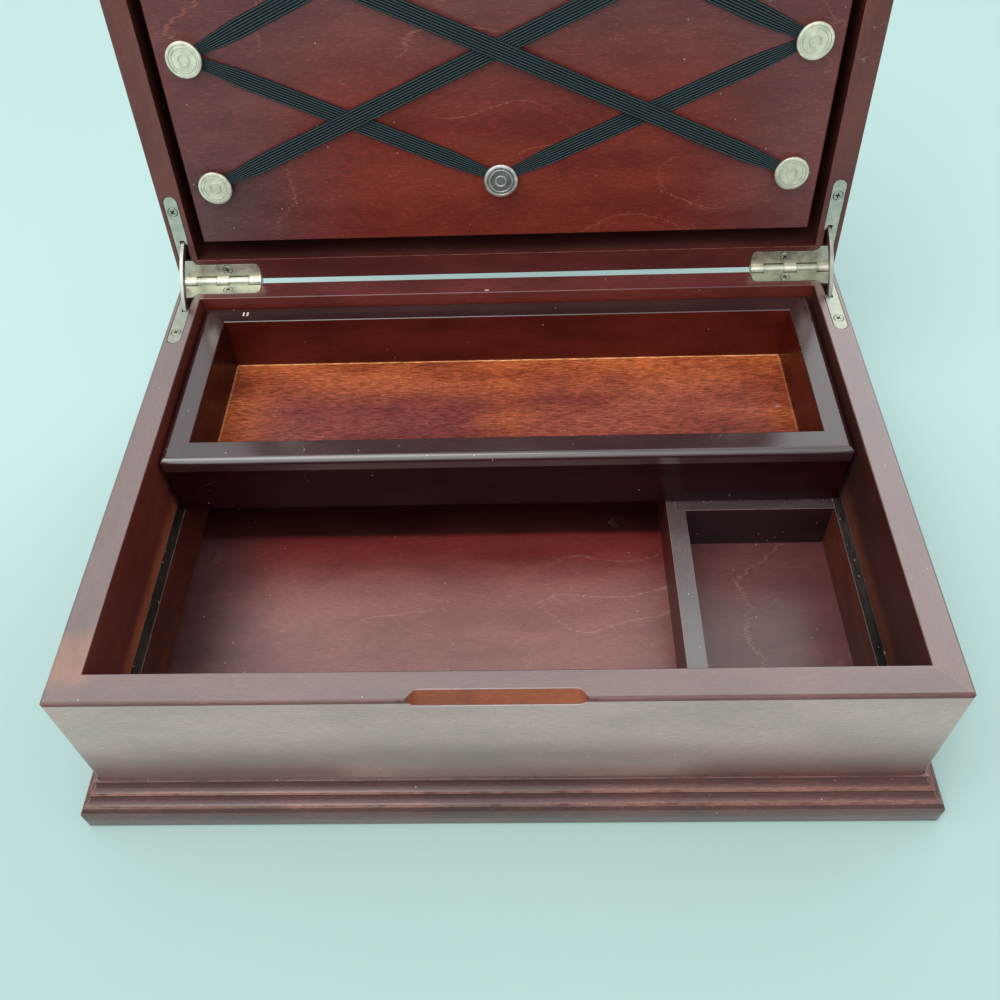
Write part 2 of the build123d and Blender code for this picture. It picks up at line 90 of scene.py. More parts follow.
camera_data = bpy.data.cameras.new("camera")
camera_data.sensor_width = 36
camera_data.lens = 35.58
camera_data.clip_start = 0.01
camera = new_object("camera", camera_data)
bpy.context.scene.camera = camera
camera.matrix_world = (
    Matrix.Translation(CAMERA_PLACE) @ Matrix.Rotation(CAMERA_YAW, 4, "Z")
    @ Matrix.Rotation(pi / 2 - CAMERA_DOWN, 4, "X") @ Matrix.Rotation(CAMERA_ROLL, 4, "Z")
)
print("Camera at", tuple(round(v, 3) for v in camera.location))

# %% [markdown]
# A material is a tree of nodes. A few small helpers keep the trees readable: one adds a node, one sets its
# inputs, and the others stand for the nodes used most. An input may be a number, a colour of three numbers
# or the output of another node.

# %% Helpers for node trees
def fill(tree, node, **inputs):
    """Sets inputs by name, with _ for a space, or by place as i0 and i1, and returns the node."""
    for name, value in inputs.items():
        socket = node.inputs[int(name[1:]) if name in ("i0", "i1") else name.replace("_", " ")]
        if isinstance(value, bpy.types.NodeSocket):
            tree.links.new(value, socket)
        else:
            socket.default_value = (*value, 1) if socket.type == "RGBA" else value
    return node


def add(tree, kind, settings=None, **inputs):
    """New node with its settings and its inputs."""
    made = tree.nodes.new("ShaderNode" + kind)
    for name, value in (settings or {}).items():
        setattr(made, name, value)
    return fill(tree, made, **inputs)


print("Helpers for any node")

# %% Helpers for the common nodes
def maths(tree, operation, first, second=0.0):
    """Output of a Math node."""
    return add(tree, "Math", {"operation": operation}, i0=first, i1=second).outputs[0]


def times(tree, first, second):
    return maths(tree, "MULTIPLY", first, second)


def vector_maths(tree, operation, first, second=(0, 0, 0)):
    """Output of a Vector Math node: a number for a product or a length, else a vector."""
    made = add(tree, "VectorMath", {"operation": operation}, i0=first, i1=second)
    return made.outputs["Value" if operation in ("DOT_PRODUCT", "LENGTH") else "Vector"]


def ranged(tree, value, low, high, to_low=0.0, to_high=1.0):
    """Value taken smoothly from one range to another."""
    made = add(
        tree, "MapRange", {"interpolation_type": "SMOOTHSTEP"},
        Value=value, From_Min=low, From_Max=high, To_Min=to_low, To_Max=to_high,
    )
    return made.outputs["Result"]


def mixed(tree, mask, first, second, blend="MIX"):
    """Colour that goes from the first to the second as the mask goes from 0 to 1."""
    return add(tree, "MixRGB", {"blend_type": blend}, Fac=mask, Color1=first, Color2=second).outputs[0]


def speckled(tree, place, scale, **settings):
    """Noise between 0 and 1."""
    return add(tree, "TexNoise", Vector=place, Scale=scale, **settings).outputs["Fac"]


def object_place(tree):
    """Place on the piece, in metres."""
    return add(tree, "TexCoord").outputs["Object"]


print("Helpers for the common nodes")

# %% [markdown]
# The box stands in a light tent: soft light from all round, most of it from above. Many lamps could do
# this, but varnished wood would mirror each of them. A world that grows brighter towards the top has no
# edges to mirror. Two wide glows, one behind on the right and one in front, give the gleam on the rims and
# the lips, and one large lamp adds a direction. Colours are shown as they are, without a film curve.

# %% Light
HORIZON_LIGHT = 0.6
TOP_LIGHT = 1.15
TENT_SPAN = (-0.05, 0.85)
TENT_COLOUR = (0.95, 1.0, 0.995)
GLOWS = [((0.5, 0.75, 0.5), 32, 0.8), ((-0.3, -0.8, 0.75), 40, 1.3)]
LAMP_PLACE = Vector((-0.35, -0.25, 1.3))
LAMP_TARGET = Vector((0, 0, 0.05))


def light_tent():
    """World that is brighter above, with a glow for each direction, width in degrees and strength."""
    world = bpy.data.worlds.new("tent")
    bpy.context.scene.world = world
    world.use_nodes = True
    tree = world.node_tree
    way = add(tree, "TexCoord").outputs["Generated"]
    height = add(tree, "SeparateXYZ", Vector=way).outputs["Z"]
    strength = ranged(tree, height, *TENT_SPAN, HORIZON_LIGHT, TOP_LIGHT)
    for direction, width, gain in GLOWS:
        same = vector_maths(tree, "DOT_PRODUCT", way, Vector(direction).normalized())
        patch = times(tree, ranged(tree, same, cos(radians(width)), 1.0), gain)
        strength = maths(tree, "ADD", strength, patch)
    fill(tree, tree.nodes["Background"], Color=TENT_COLOUR, Strength=strength)


def soft_lamp():
    """Large square lamp that looks at a point of the box."""
    data = bpy.data.lights.new("roof_lamp", "AREA")
    data.size = 0.8
    data.energy = 6
    lamp = new_object("roof_lamp", data)
    lamp.location = LAMP_PLACE
    lamp.rotation_euler = (LAMP_TARGET - LAMP_PLACE).to_track_quat("-Z", "Y").to_euler()


bpy.context.scene.view_settings.view_transform = "Standard"
light_tent()
soft_lamp()
print("Sky from", HORIZON_LIGHT, "to", TOP_LIGHT, "and one lamp")

# %% [markdown]
# The box stands on pale blue-green paper. A curved sheet could hide the horizon, but the camera looks down
# and sees none, so one plane is enough. It belongs to the studio. Its colour is faintly uneven, so that it
# isn't a flat fill, and darker towards the front as painted shade.

# %% Floor
FLOOR_SIZE = 6.0
FLOOR_DROP = 0.05 * MM
PAPER_TINTS = ((0.37, 0.52, 0.505), (0.41, 0.56, 0.545))
# The paper is painted darker from back to front as shade.
PAPER_FRONT, PAPER_BACK = -0.24, 0.1
PAPER_PAINTED_SHADES = (0.9, 1.06)


def mesh_object(name, points, faces, smooth=True):
    """New mesh object from points and faces."""
    mesh = bpy.data.meshes.new(name)
    mesh.from_pydata(points, [], faces)
    mesh.update()
    if smooth:
        mesh.shade_smooth()
    return new_object(name, mesh)


def new_material(name):
    """Material with an empty tree and one Principled shader."""
    material = bpy.data.materials.new(name)
    material.use_nodes = True
    tree = material.node_tree
    return material, tree, tree.nodes["Principled BSDF"]


def pale_paper():
    material, tree, shader = new_material("pale_paper")
    place = object_place(tree)
    colour = mixed(tree, speckled(tree, place, scale=3.0, Detail=2.0), *PAPER_TINTS)
    depth = add(tree, "SeparateXYZ", Vector=place).outputs["Y"]
    # Painted shade: darker towards the front.
    shade = ranged(tree, depth, PAPER_FRONT, PAPER_BACK, *PAPER_PAINTED_SHADES)
    fill(tree, shader, Base_Color=mixed(tree, 1.0, colour, shade, "MULTIPLY"), Roughness=0.75)
    return material


half = FLOOR_SIZE / 2
floor_corners = [(-half, -half, 0), (half, -half, 0), (half, half, 0), (-half, half, 0)]
studio_floor = mesh_object("studio_floor", floor_corners, [(0, 1, 2, 3)], smooth=False)
studio_floor.location.z = -FLOOR_DROP
studio_floor.data.materials.append(pale_paper())
print("Floor", FLOOR_SIZE, "m wide")

# %% [markdown]
# Grain, worn edges and dust come back in many materials. They could be copied into each, but then a change
# would have to be made in all. So each is a node group: built once, with named inputs and outputs, and
# placed in a material with values of its own.

# %% Helpers for node groups
FLOAT = "NodeSocketFloat"
VECTOR = "NodeSocketVector"


def new_group(name, inputs, outputs):
    """Empty node group, the values given to it and the node that takes its results."""
    group = bpy.data.node_groups.new(name, "ShaderNodeTree")
    for way, sockets in (("INPUT", inputs), ("OUTPUT", outputs)):
        for socket, kind in sockets.items():
            group.interface.new_socket(socket, in_out=way, socket_type=kind)
    return group, group.nodes.new("NodeGroupInput").outputs, group.nodes.new("NodeGroupOutput")


def use(tree, group, **inputs):
    """Places a node group in a material and returns its outputs."""
    return add(tree, "Group", {"node_tree": group}, **inputs).outputs


print("Helpers for groups")

# %% [markdown]
# The wood is a pale, even-grained timber under a red-brown stain and a satin varnish. It shows soft clouds
# of stain, short fine streaks along the grain, tiny pores, and in places the thin toothed lines of growth
# rings. A picture of wood could be laid on, but it would blur close up and show its seams. So all four are
# noise, stretched along the grain. The rings are contour lines of a smooth noise, whose coordinates are
# first jagged: that gives the teeth of a knife-cut veneer. X runs along the grain of each piece.

# %% Group: grain of the wood
# How often each pattern comes back in a millimetre, along the grain and across it.
CLOUDS = (0.016, 0.045)
STREAKS = (0.22, 1.9)
PORES = (0.42, 2.6)
TEETH = (0.03, 1.1)
RINGS = (0.011, 0.017)
RING_PATCHES = (0.012, 0.02)
PORE_SPAN = (0.56, 0.72)
TOOTH_LENGTH = 11.0
RING_COUNT = 15.0
RING_WIDTH = 0.04
RING_LIMIT = 0.78
RING_FADE = 0.12


def stretched(tree, vector, repeats, **settings):
    """Noise that is drawn out along X."""
    along, across = repeats
    place = add(tree, "Mapping", Vector=vector, Scale=(along, across, across)).outputs[0]
    return speckled(tree, place, 1.0, **settings)


def build_grain():
    outputs = {"Cloud": FLOAT, "Streak": FLOAT, "Pore": FLOAT, "Ring": FLOAT}
    group, given, result = new_group("wood_grain", {"Vector": VECTOR, "Ring Share": FLOAT}, outputs)
    to_mm = {"operation": "SCALE"}
    in_mm = add(group, "VectorMath", to_mm, i0=given["Vector"], Scale=1 / MM).outputs[0]
    cloud = stretched(group, in_mm, CLOUDS, Detail=5.0, Roughness=0.62)
    streak = stretched(group, in_mm, STREAKS, Detail=3.0, Roughness=0.6)
    pore = ranged(group, stretched(group, in_mm, PORES, Detail=1.0), *PORE_SPAN)
    teeth = stretched(group, in_mm, TEETH, Detail=2.0)
    tooth = times(group, maths(group, "SUBTRACT", teeth, 0.5), TOOTH_LENGTH)
    jagged = vector_maths(group, "ADD", in_mm, add(group, "CombineXYZ", X=tooth).outputs[0])
    height = stretched(group, jagged, RINGS, Detail=1.0)
    steps = maths(group, "PINGPONG", times(group, height, RING_COUNT), 1.0)
    line = ranged(group, steps, RING_WIDTH, 0.0)
    patch = stretched(group, in_mm, RING_PATCHES, Detail=1.0)
    share = times(group, given["Ring Share"], 0.5)
    limit = maths(group, "SUBTRACT", RING_LIMIT, share)
    shown = ranged(group, patch, limit, maths(group, "ADD", limit, RING_FADE))
    ring = times(group, line, shown)
    fill(group, result, Cloud=cloud, Streak=streak, Pore=pore, Ring=ring)
    return group


GRAIN = build_grain()
print("Group", GRAIN.name)

# %% [markdown]
# Stain is thin on every edge that hands and cloths rub, and the pale timber begins to show there. Edges
# could be painted by hand, but there are metres of them. A Bevel node gives the normal that a rounded edge
# would have. Where it differs from the true normal there is an edge, and noise breaks the rubbed line up.
# The same node softens the sharp edges for the light.

# %% Group: rubbed edges
EDGE_BEND = (0.985, 0.8)
BREAK_SOFTNESS = 0.08


def build_rubbed_edges():
    inputs = {"Width": FLOAT, "Broken": FLOAT, "Scale": FLOAT}
    group, given, result = new_group("rubbed_edges", inputs, {"Mask": FLOAT, "Normal": VECTOR})
    soft = add(group, "Bevel", {"samples": 6}, Radius=given["Width"]).outputs["Normal"]
    same = vector_maths(group, "DOT_PRODUCT", soft, add(group, "NewGeometry").outputs["Normal"])
    edge = ranged(group, same, *EDGE_BEND)
    patches = speckled(group, object_place(group), given["Scale"], Detail=4.0)
    limit = maths(group, "SUBTRACT", given["Broken"], BREAK_SOFTNESS)
    worn = ranged(group, patches, limit, maths(group, "ADD", limit, 2 * BREAK_SOFTNESS))
    fill(group, result, Mask=times(group, edge, worn), Normal=soft)
    return group


RUBBED = build_rubbed_edges()
print("Group", RUBBED.name)

# %% [markdown]
# Fine dust lies on the box as pale specks. They could be small meshes, but thousands would weigh the model
# down. Here they are cells of a Voronoi texture, and only a cell whose random colour falls under a limit
# holds a speck. Hairline scratches are contour lines of a smooth noise that show in a few small patches.

# %% Group: dust and scratches
SPECK_EDGE = (0.24, 0.08)
SCRATCH_SCALE = 85.0
SCRATCH_HAIR = (0.004, 0.001)
SCRATCHED_SCALE = 42.0
SCRATCHED_SPAN = (0.74, 0.79)


def build_dust():
    inputs = {"Scale": FLOAT, "Share": FLOAT}
    group, given, result = new_group("dust", inputs, {"Speck": FLOAT, "Scratch": FLOAT})
    place = object_place(group)
    cells = add(group, "TexVoronoi", Vector=place, Scale=given["Scale"]).outputs
    chance = add(group, "SeparateColor", Color=cells["Color"]).outputs[0]
    chosen = maths(group, "LESS_THAN", chance, given["Share"])
    speck = times(group, ranged(group, cells["Distance"], *SPECK_EDGE), chosen)
    wander = speckled(group, place, SCRATCH_SCALE, Detail=1.0, Distortion=0.6)
    from_line = maths(group, "ABSOLUTE", maths(group, "SUBTRACT", wander, 0.5))
    shown = ranged(group, speckled(group, place, SCRATCHED_SCALE, Detail=0.0), *SCRATCHED_SPAN)
    scratch = times(group, ranged(group, from_line, *SCRATCH_HAIR), shown)
    fill(group, result, Speck=speck, Scratch=scratch)
    return group


DUST = build_dust()
print("Group", DUST.name)

# %% [markdown]
# Some faces took the stain and the wear differently from the rest of their board. Such a face could have a
# material of its own, but then the change would be a hard line. A box mask picks the region by its place
# instead: it is 1 inside the box and falls to 0 over a short distance outside it. On the lid the place is
# read in the lid's own plan, as if the lid were closed.

# %% Group: region of the box
def build_region():
    inputs = {"Place": VECTOR, "Low": VECTOR, "High": VECTOR, "Soft": FLOAT}
    group, given, result = new_group("region", inputs, {"Mask": FLOAT})
    under = vector_maths(group, "SUBTRACT", given["Low"], given["Place"])
    over = vector_maths(group, "SUBTRACT", given["Place"], given["High"])
    outside = vector_maths(group, "MAXIMUM", vector_maths(group, "MAXIMUM", under, over))
    distance = vector_maths(group, "LENGTH", outside)
    fill(group, result, Mask=ranged(group, distance, given["Soft"], 0.0))
    return group


REGION = build_region()
print("Group", REGION.name)

# %% [markdown]
# Stain goes on first, with a cloth. The clouds come from how the timber drinks it, and the regions from
# where more was left or where it was rubbed off. Each board could carry its own coordinates, but it is
# enough to turn them: a board that runs from front to back needs a quarter turn, and what is fixed to the
# lid is turned back by the angle at which the lid stands.

# %% Stain and its regions
ALONG_X = (0, 0, 0)
ALONG_Y = (0, 0, -pi / 2)
LID_ALONG_X = (OPEN, 0, 0)
LID_ALONG_Y = (OPEN, 0, -pi / 2)
TO_LID_PLAN = LID_PLAN.inverted().to_translation()
CLOUD_SPAN = (0.32, 0.68)


def turned_places(tree, turn):
    """Place along the grain, and place in the plan of the box or, where the turn tilts, of the lid."""
    place = object_place(tree)
    along = add(tree, "Mapping", Vector=place, Rotation=turn).outputs[0]
    if turn[0]:
        place = add(tree, "Mapping", Vector=place, Rotation=LID_ALONG_X, Location=TO_LID_PLAN).outputs[0]
    return along, place


def stain(tree, place, cloud, dark, light, varnish, regions):
    """Colour of the stain, and weight of the varnish on it.

    Each region is (lowest corner, highest corner, softness, dark, light, varnish), in millimetres.
    """
    cloud = ranged(tree, cloud, *CLOUD_SPAN)
    colour = mixed(tree, cloud, dark, light)
    for low, high, soft, own_dark, own_light, own_varnish in regions:
        low, high = (tuple(v * MM for v in corner) for corner in (low, high))
        mask = use(tree, REGION, Place=place, Low=low, High=high, Soft=soft * MM)["Mask"]
        colour = mixed(tree, mask, colour, mixed(tree, cloud, own_dark, own_light))
        change = maths(tree, "SUBTRACT", own_varnish, varnish)
        varnish = maths(tree, "ADD", varnish, times(tree, mask, change))
    return colour, varnish


print("Stain with", CLOUD_SPAN, "of its clouds")

# %% [markdown]
# All the stained wood shares one recipe. Streaks, pores and rings lie over the stain, and rubbed edges,
# scratches and dust come last. The varnish could be a second shader over the first, but the Principled
# shader's own clear coat is simpler and can be exported. A little sheen stands for the haze of fine dust.

# %% Stained wood
DUST_COLOUR = (0.75, 0.7, 0.66)
STREAK_SPAN = (0.28, 0.72)
PORE_GAIN = 2.5
PORE_DEPTH = -0.4
RUBBED_SHARE = 0.8
RUBBED_SCALE = 160.0
DUST_SCALE = 650.0
SCRATCH_SHARE = 0.18
SPECK_SHARE = 0.55
SPECK_ROUGHNESS = 0.3
SMOOTHER, ROUGHER = -0.05, 0.08
GRAIN_HEIGHT = 0.04 * MM


def wood(name, turn, dark, light, worn, regions=(), streak=0.16, pore=0.1, ring=0.0, ring_share=0.3,
         rub=0.45, rub_width=0.45, gloss=0.38, shine=0.25, coat=(1.0, 0.3, 1.8), haze=0.0, dust=0.006):
    """Stained and varnished wood whose grain runs along X after the turn.

    The coat is the varnish: its weight, its roughness and how strongly it mirrors, as an IOR.
    """
    material, tree, shader = new_material(name)
    along, place = turned_places(tree, turn)
    grain = use(tree, GRAIN, Vector=along, Ring_Share=ring_share)
    colour, varnish = stain(tree, place, grain["Cloud"], dark, light, coat[0], regions)
    streaks = ranged(tree, grain["Streak"], *STREAK_SPAN, 1.0 - streak, 1.0 + streak)
    colour = mixed(tree, 1.0, colour, streaks, "MULTIPLY")
    pores = ranged(tree, grain["Pore"], 0.0, 1.0, 1.0, 1.0 + PORE_GAIN * pore)
    colour = mixed(tree, 1.0, colour, pores, "MULTIPLY")
    if ring > 0:
        colour = mixed(tree, times(tree, grain["Ring"], ring), colour, worn)
    edges = use(tree, RUBBED, Width=rub_width * MM, Broken=rub, Scale=RUBBED_SCALE)
    colour = mixed(tree, times(tree, edges["Mask"], RUBBED_SHARE), colour, worn)
    marks = use(tree, DUST, Scale=DUST_SCALE, Share=dust)
    for mark, share in (("Scratch", SCRATCH_SHARE), ("Speck", SPECK_SHARE)):
        colour = mixed(tree, times(tree, marks[mark], share), colour, DUST_COLOUR)
    rough = ranged(tree, grain["Streak"], *STREAK_SPAN, gloss + SMOOTHER, gloss + ROUGHER)
    rough = maths(tree, "ADD", rough, times(tree, marks["Speck"], SPECK_ROUGHNESS))
    relief = maths(tree, "ADD", grain["Streak"], times(tree, grain["Pore"], PORE_DEPTH))
    bump = add(tree, "Bump", Strength=0.1, Distance=GRAIN_HEIGHT, Height=relief, Normal=edges["Normal"])
    fill(
        tree, shader, Base_Color=colour, Roughness=rough, Normal=bump.outputs["Normal"],
        Specular_IOR_Level=shine, Coat_Weight=varnish, Coat_Roughness=coat[1], Coat_IOR=coat[2],
        Sheen_Weight=haze, Sheen_Roughness=0.45,
    )
    return material


print("Recipe of the wood ready")

# %% Putting a finish on the boards
def dress(nodes, material):
    """Gives CAD nodes a material in place of their own."""
    for name in nodes:
        slots = frame["nodes"][name].data.materials
        slots.clear()
        slots.append(material)
    print(material.name, "on", len(nodes))


def dress_frame(name, nodes, turns, stains, regions, **finish):
    """Finishes a frame of four boards: one material for front and back, and one for left and right."""
    for way, sides in (("x", ("front", "back")), ("y", ("left", "right"))):
        made = wood(f"{name}_{way}", turns[way], *stains, regions[way], **finish)
        dress([nodes.format(side) for side in sides], made)


print("Ready to dress the boards")

# %% [markdown]
# The outer faces of the case are red-brown, painted paler above than at the moulding, as a painted
# reflection. The front has a paler painted reflection, strongest at the top and weakest in the middle. The
# rims are browner and glossy, and their edges, the arrises, are painted darker and duller as shade. The back
# rim is redder, and the left one is rubbed near the front. All this could be painted on an image, but boxes
# in millimetres are easier to measure and to change. A later region lies over the ones before it.
# region lies over the ones before it.

# %% Case: outer faces and rims
RED_DARK = (0.08, 0.019, 0.015)
RED_LIGHT = (0.13, 0.036, 0.029)
WORN = (0.36, 0.15, 0.09)
# The arrises are painted darker and get little varnish: painted shade.
ARRIS_SHADE = ((0.09, 0.034, 0.031), (0.13, 0.05, 0.045), 0.15)
# Painted reflection: the outer faces paler above, the front paler still, and dimmer in the front's middle.
OUTER_FACES_REFLECTION = ((-162, -118, 68), (162, 118, 82), 42, (0.12, 0.033, 0.025), (0.175, 0.053, 0.041), 0.5)
FRONT_FACE_REFLECTION = ((-162, -118, 60), (162, -115, 82), 34, (0.3, 0.178, 0.144), (0.395, 0.242, 0.198), 1.0)
FRONT_MIDDLE_DIMMER_REFLECTION = ((-50, -118, 20), (60, -115, 32), 22, (0.15, 0.06, 0.046), (0.23, 0.098, 0.076), 0.9)
RIM = ((-162, -118, 82.4), (162, 118, 84), 0.2, (0.076, 0.027, 0.025), (0.124, 0.047, 0.042), 1.0)
ARRIS = ((-162, -118, 81.2), (162, 118, 82.3), 0.2, *ARRIS_SHADE)
FRONT_ARRIS = ((-162, -118, 81.2), (162, -114.6, 84), 0.3, *ARRIS_SHADE)
BACK_RIM = ((-146, 104, 82.2), (146, 118, 84), 2.0, (0.076, 0.013, 0.012), (0.125, 0.024, 0.022), 0.25)
RUBBED_CORNER = ((-158, -104, 82.2), (-150, -92, 84), 9, (0.17, 0.06, 0.03), (0.26, 0.1, 0.055), 0.9)
RIMS = [RIM, ARRIS, FRONT_ARRIS, BACK_RIM, RUBBED_CORNER]
print(3 + len(RIMS), "regions outside")

# %% [markdown]
# Inside, the same boards are redder and dull. On the left an orange strip runs along the wall where the
# tray's ledge meets it. The right wall is the darkest, with a browner strip. The inside could be found by
# the way its faces look, but a box that ends just under the rim does it with one mask.

# %% Case: inside
INSIDE = ((-148.3, -104.1, 0), (148.3, 104.1, 81.8), 0.4, (0.098, 0.014, 0.009), (0.155, 0.026, 0.016), 0.0)
STRIP = ((-148.3, -104.1, 43), (-140, 104.1, 46.5), 9, (0.3, 0.07, 0.03), (0.46, 0.14, 0.06), 0.0)
RIGHT_WALL = ((140, -104.1, 0), (148.3, 104.1, 81.8), 0.4, (0.03, 0.003, 0.002), (0.055, 0.007, 0.004), 0.0)
RIGHT_STRIP = (
    (140, -104.1, 44), (148.3, 104.1, 47), 12, (0.08, 0.017, 0.0075), (0.15, 0.038, 0.015), 0.0,
)
LEFT_AND_RIGHT = [STRIP, RIGHT_WALL, RIGHT_STRIP]
print(1 + len(LEFT_AND_RIGHT), "regions inside")

# %% [markdown]
# A scoop for the finger is cut into the front rim, and fingers have rubbed it back to orange. Its rounded
# ends are painted dark as shade. A small chip in the back rim shows pale timber. A chip could be cut into
# the mesh, but it is shallow and about one millimetre wide, so only its colour can be seen.

# %% Case: scoop, chip and walls
CHIPPED = ((0.62, 0.55, 0.5), (0.8, 0.74, 0.7), 0.0)
SCOOP = ((-32.0, -115.3, 79.6), (29.0, -111.5, 82.2), 0.45, (0.1, 0.022, 0.009), (0.22, 0.052, 0.014), 0.0)
# The rounded ends of the scoop are painted dark as shade.
SCOOP_ENDS_SHADE = (
    (-36, -115.5, 79.2), (33, -111.5, 82.2), 0.25, (0.045, 0.018, 0.019), (0.07, 0.028, 0.03), 0.1,
)
RIM_CHIP = ((-9.3, 105.2, 82), (-7.6, 105.6, 84), 0.2, *CHIPPED)
CASE_TURNS = {"x": ALONG_X, "y": ALONG_Y}
CASE_STAIN = (RED_DARK, RED_LIGHT, WORN)
WALL_REGIONS = {
    "x": [OUTER_FACES_REFLECTION, FRONT_FACE_REFLECTION, FRONT_MIDDLE_DIMMER_REFLECTION, *RIMS, INSIDE, SCOOP_ENDS_SHADE, SCOOP, RIM_CHIP],
    "y": [OUTER_FACES_REFLECTION, *RIMS, INSIDE, *LEFT_AND_RIGHT],
}
dress_frame(
    "case_wood", "{}_wall", CASE_TURNS, CASE_STAIN, WALL_REGIONS,
    streak=0.18, pore=0.12, coat=(0.6, 0.26, 2.3), haze=0.02,
)

# %% [markdown]
# The base moulding is a planed strip, mitred round the case. Its coves are painted dark as shade, and its
# two ridges paler, as rubbed wood under a painted highlight. The mask could come from how the surface
# curves, but the profile runs level all round, so it is surer to pick the coves and the ridges by their
# height.

# %% Base moulding
# Painted shade in the coves, and on the ridges a painted highlight over the rubbed wood.
COVES_SHADE = ((-175, -130, 10), (175, 130, 20.5), 0.5, (0.042, 0.008, 0.0065), (0.075, 0.017, 0.014), 0.3)
LOWER_RIDGE_WEAR_AND_HIGHLIGHT = ((-175, -130, 11.9), (175, 130, 12.6), 0.5, (0.05, 0.016, 0.013), (0.165, 0.06, 0.048), 0.4)
UPPER_RIDGE_WEAR_AND_HIGHLIGHT = ((-175, -130, 16.6), (175, 130, 17.3), 0.5, (0.06, 0.016, 0.012), (0.19, 0.062, 0.042), 0.4)
MOULDING_STAIN = ((0.052, 0.013, 0.011), (0.095, 0.026, 0.021), (0.42, 0.22, 0.17))
dress_frame(
    "moulding_wood", "{}_moulding", CASE_TURNS, MOULDING_STAIN,
    dict.fromkeys("xy", [COVES_SHADE, LOWER_RIDGE_WEAR_AND_HIGHLIGHT, UPPER_RIDGE_WEAR_AND_HIGHLIGHT]),
    streak=0.28, pore=0.3, rub=0.44, rub_width=0.5, coat=(0.85, 0.24, 1.85), dust=0.012,
)

# %% [markdown]
# The tray's rounded lips are nearly black and the glossiest wood of the box. Its outside is darker still,
# its inside is reddish brown and darkest on the left, and its back lip has two chips. The gloss could be
# painted as highlights, but they would be wrong when the tray slides. A smooth coat mirrors the tent from
# wherever the tray is.

# %% Tray
TRAY_OUTSIDE = ((-160, 0, 40), (160, 110, 70.6), 0.4, (0.012, 0.0012, 0.002), (0.02, 0.0026, 0.0034), 0.0)
TRAY_INSIDE = (
    (-135.7, 12.3, 40), (135.7, 92.3, 77), 0.4, (0.055, 0.005, 0.003), (0.095, 0.0115, 0.006), 0.05,
)
TRAY_LEFT = ((-138, 13, 40), (-134.8, 91.6, 76.6), 0.4, (0.026, 0.0036, 0.0032), (0.048, 0.0078, 0.006), 0.0)
TRAY_CHIPS = [((x, 96.4, 77.2), (x + 0.5, 98.8, 79), 0.35, *CHIPPED) for x in (-127.0, -125.1)]
TRAY_STAIN = ((0.026, 0.008, 0.009), (0.04, 0.014, 0.015), (0.16, 0.05, 0.035))
dress_frame(
    "tray_wood", "tray_{}_wall", CASE_TURNS, TRAY_STAIN,
    dict.fromkeys("xy", [TRAY_OUTSIDE, TRAY_INSIDE, TRAY_LEFT, *TRAY_CHIPS]),
    streak=0.1, pore=0.04, rub=0.6, gloss=0.3, shine=0.12, coat=(1.0, 0.17, 1.85),
)

# %% [markdown]
# The lid has the stain of the case. Inside it is painted nearly black as shade, its back edge is redder, and
# its front rail carries on the painted reflection of the front wall, which it meets when the lid is shut.
# The top could share the frame's material, but it is one wide panel and also shows growth rings.

# %% Lid frame and top
# The inside of the lid, rails and top, is painted nearly black as shade.
LID_INSIDE_SHADE = (
    (-148.8, -104.6, 0.5), (148.8, 104.6, 25), 0.4, (0.01, 0.002, 0.002), (0.022, 0.005, 0.005), 0.0,
)
LID_BACK = ((-146, 103, -1), (146, 118, 0.4), 1.0, (0.06, 0.008, 0.008), (0.1, 0.018, 0.016), 0.2)
# The front rail is painted paler as a reflection, like the front wall.
LID_FRONT_REFLECTION = ((-162, -118, 2), (162, -115.2, 24), 5, (0.17, 0.084, 0.067), (0.25, 0.135, 0.11), 0.9)
dress_frame(
    "lid_wood", "lid_{}_rail", {"x": LID_ALONG_X, "y": LID_ALONG_Y}, CASE_STAIN,
    {"x": [LID_FRONT_REFLECTION, LID_INSIDE_SHADE, LID_BACK], "y": [LID_INSIDE_SHADE]}, streak=0.08, coat=(0.4, 0.3, 1.6),
)
dress(["lid_top_panel"], wood(
    "lid_top_wood", LID_ALONG_X, *CASE_STAIN, [LID_INSIDE_SHADE], ring=0.3, coat=(0.6, 0.3, 1.5),
))

# %% [markdown]
# The linings and the dividers are thin boards, sawn and hardly varnished. The top edges of the linings, on
# which the tray slides, are blackened and dusty; those of the dividers are varnished like the rims. One
# material could serve all four boards, but the grain of the cross divider runs the other way.

# %% Linings and dividers
THIN_DARK = (0.045, 0.007, 0.0055)
THIN_LIGHT = (0.08, 0.015, 0.011)
THIN_WORN = (0.62, 0.34, 0.26)
LEDGE = ((-160, -116, 45.2), (160, 116, 60), 0.3, (0.002, 0.002, 0.002), (0.03, 0.025, 0.023), 0.05)
dress(["left_lining", "right_lining"], wood(
    "lining_wood", ALONG_Y, (0.06, 0.011, 0.0065), (0.105, 0.023, 0.0125), THIN_WORN, [LEDGE],
    streak=0.4, pore=0.5, rub=0.3, rub_width=0.35, coat=(0.05, 0.34, 1.5), dust=0.16,
))
DIVIDER_TOP = ((-160, -116, 44.8), (160, 116, 60), 0.3, (0.045, 0.026, 0.026), (0.08, 0.05, 0.05), 1.0)
# The back of the small compartment, under the front of the tray, is painted dark as shade.
SMALL_BACK_SHADE = ((79, -8, 0), (150, 6, 44.6), 0.3, (0.014, 0.004, 0.004), (0.026, 0.007, 0.007), 0.0)
for node, turn in (("divider", ALONG_Y), ("cross_divider", ALONG_X)):
    dress([node], wood(
        f"{node}_wood", turn, THIN_DARK, THIN_LIGHT, THIN_WORN, [DIVIDER_TOP, SMALL_BACK_SHADE],
        rub=0.36, rub_width=0.35, coat=(0.1, 0.24, 2.4), dust=0.03,
    ))

